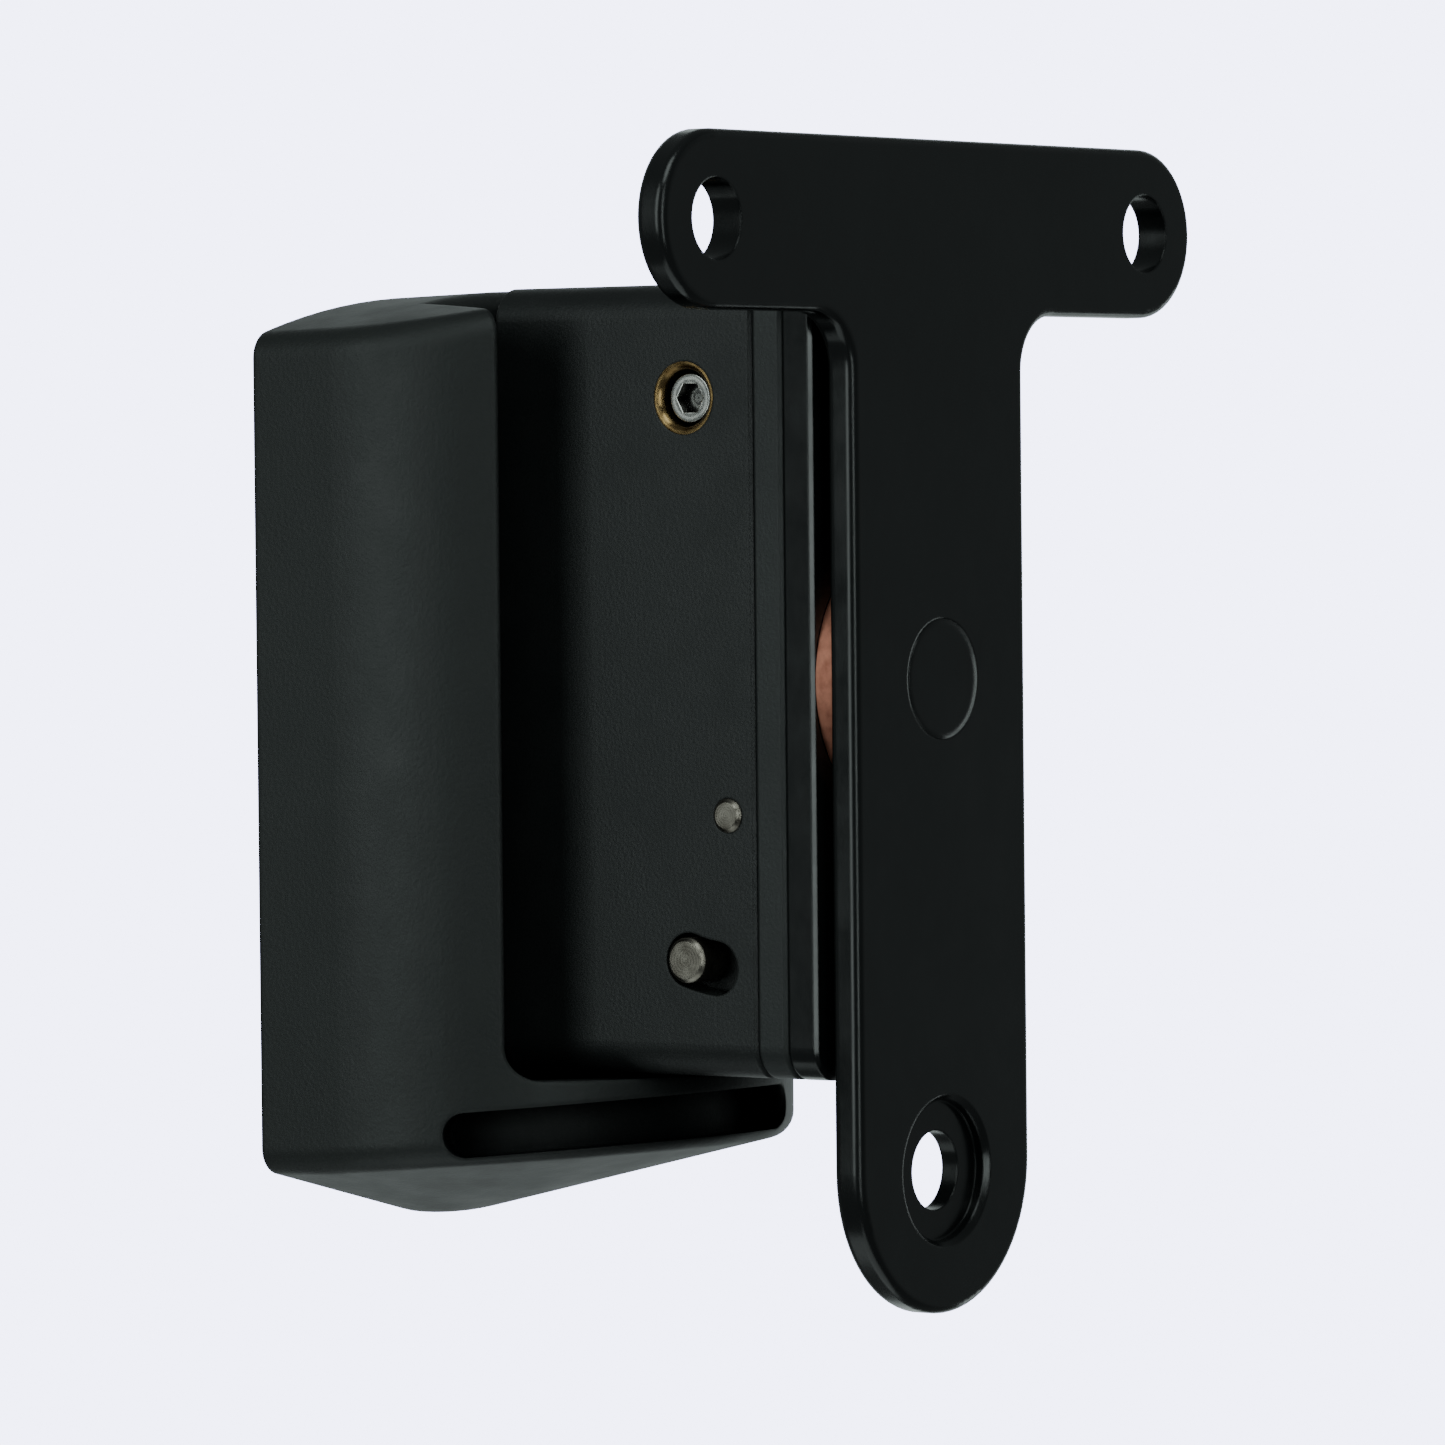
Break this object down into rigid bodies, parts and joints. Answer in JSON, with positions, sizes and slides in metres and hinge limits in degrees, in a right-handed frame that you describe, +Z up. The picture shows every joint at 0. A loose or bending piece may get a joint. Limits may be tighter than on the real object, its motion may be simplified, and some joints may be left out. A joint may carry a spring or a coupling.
{
  "type": "speaker wall bracket",
  "caption": "T-shaped steel wall plate with an arm that rolls on it, a tilting head inside the arm and a rounded shell that swivels to hold a small loudspeaker.",
  "frame": {"origin": "on the roll stud's axis, at the wall face of the T-shaped plate", "axes": "+Z up, +Y into the wall, the loudspeaker side towards -Y, +X to the right seen from the loudspeaker side"},
  "size_m": [0.0802, 0.0566, 0.1025],
  "materials": {
    "wall_paint": "glossy black paint on steel",
    "arm_coating": "satin black coating on a casting",
    "block_coating": "satin black coating on a casting",
    "shell_black": "fine-textured satin black moulding",
    "copper_washer": "copper-coloured friction washer",
    "insert_brass": "turned brass",
    "bush_bronze": "sintered bronze",
    "bright_steel": "zinc plated",
    "spring_steel": "oiled spring steel",
    "nickel_pin": "ground nickel-plated pin"
  },
  "bodies": {
    "wall": {"wall_plate": "wall_paint", "roll_stud": "wall_paint", "friction_washer": "copper_washer", "stud_washer": "bright_steel", "disc_spring_rear": "spring_steel", "disc_spring_front": "spring_steel", "stud_lock_nut": "bright_steel"},
    "arm": {"turning_plate": "wall_paint", "rear_cap": "arm_coating", "arm_housing": "arm_coating", "plate_screws": "bright_steel", "tilt_pivot_pin": "nickel_pin", "lock_screw_insert": "insert_brass", "tilt_lock_screw": "bright_steel"},
    "tilt_head": {"tilt_block": "block_coating", "tilt_limit_pin": "nickel_pin", "swivel_bush_upper": "bush_bronze", "swivel_bush_lower": "bush_bronze", "swivel_spring_washer": "spring_steel"},
    "carrier": {"shell": "shell_black", "swivel_pin": "nickel_pin"}
  },
  "joints": [
    {"name": "roll", "type": "hinge", "parent": "wall", "child": "arm", "pos_m": [0, 0, 0], "axis": [0, 1, 0], "continuous": true},
    {"name": "tilt", "type": "hinge", "parent": "arm", "child": "tilt_head", "pos_m": [0, -0.0141, -0.0117], "axis": [1, 0, 0], "range_deg": [0, 12.7]},
    {"name": "swivel", "type": "hinge", "parent": "tilt_head", "child": "carrier", "pos_m": [0, -0.0478, 0], "axis": [0, 0, 1], "range_deg": [-20, 20]}
  ]
}
